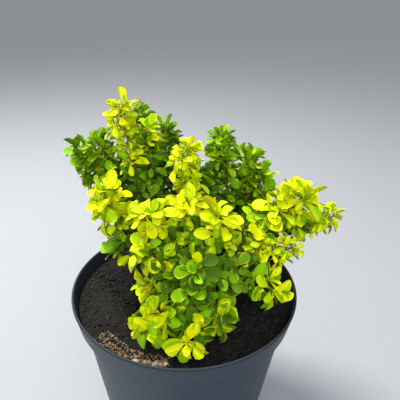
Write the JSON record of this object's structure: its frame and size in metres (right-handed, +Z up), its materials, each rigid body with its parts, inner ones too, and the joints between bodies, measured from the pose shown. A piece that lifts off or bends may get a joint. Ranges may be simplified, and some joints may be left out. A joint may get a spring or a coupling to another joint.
{
  "type": "potted shrub",
  "caption": "Small golden-leaved barberry shrub with upright leafy shoots in a round slate grey nursery pot filled with compost.",
  "frame": {"origin": "middle of the pot's flat underside", "axes": "+Z up along the pot's axis, -Y towards the front that the picture shows, +X to the right as seen from the front"},
  "size_m": [0.2792, 0.225, 0.3607],
  "materials": {
    "pot_plastic": "satin",
    "compost": "rough",
    "bark": "rough",
    "gold_leaf": "satin",
    "lime_leaf": "satin",
    "green_leaf": "satin"
  },
  "bodies": {
    "root": {"pot": "pot_plastic", "compost": "compost", "main_stem": "bark", "bough_left_top": "bark", "bough_left_inner": "bark", "bough_left_low": "bark", "bough_far_left": "bark", "bough_left_shoulder": "bark", "bough_back_left": "bark", "bough_back_tip": "bark", "bough_centre_top": "bark", "bough_heart": "bark", "bough_front_mid": "bark", "bough_front_left": "bark", "bough_front_side": "bark", "bough_low_side": "bark", "bough_low_left": "bark", "bough_front_right": "bark", "bough_front_core": "bark", "bough_low_mid": "bark", "bough_low_right": "bark", "bough_right_arm": "bark", "bough_right_tip": "bark", "bough_right_low": "bark", "bough_right_foot": "bark", "bough_right_back": "bark", "bough_right_back_mid": "bark", "bough_right_back_low": "bark", "bough_back_right": "bark", "bough_back_mid": "bark", "bough_back_far_left": "bark", "foliage_left_top": "gold_leaf", "foliage_left_inner": "lime_leaf", "foliage_left_low": "gold_leaf", "foliage_far_left": "green_leaf", "foliage_left_shoulder": "green_leaf", "foliage_back_left": "green_leaf", "foliage_back_tip": "green_leaf", "foliage_centre_top": "gold_leaf", "foliage_heart": "green_leaf", "foliage_front_mid": "gold_leaf", "foliage_front_left": "gold_leaf", "foliage_front_side": "gold_leaf", "foliage_low_side": "gold_leaf", "foliage_low_left": "gold_leaf", "foliage_front_right": "gold_leaf", "foliage_front_core": "lime_leaf", "foliage_low_mid": "gold_leaf", "foliage_low_right": "lime_leaf", "foliage_right_arm": "gold_leaf", "foliage_right_tip": "gold_leaf", "foliage_right_low": "lime_leaf", "foliage_right_foot": "lime_leaf", "foliage_right_back": "green_leaf", "foliage_right_back_mid": "green_leaf", "foliage_right_back_low": "green_leaf", "foliage_back_right": "green_leaf", "foliage_back_mid": "green_leaf", "foliage_back_far_left": "green_leaf"}
  },
  "joints": []
}
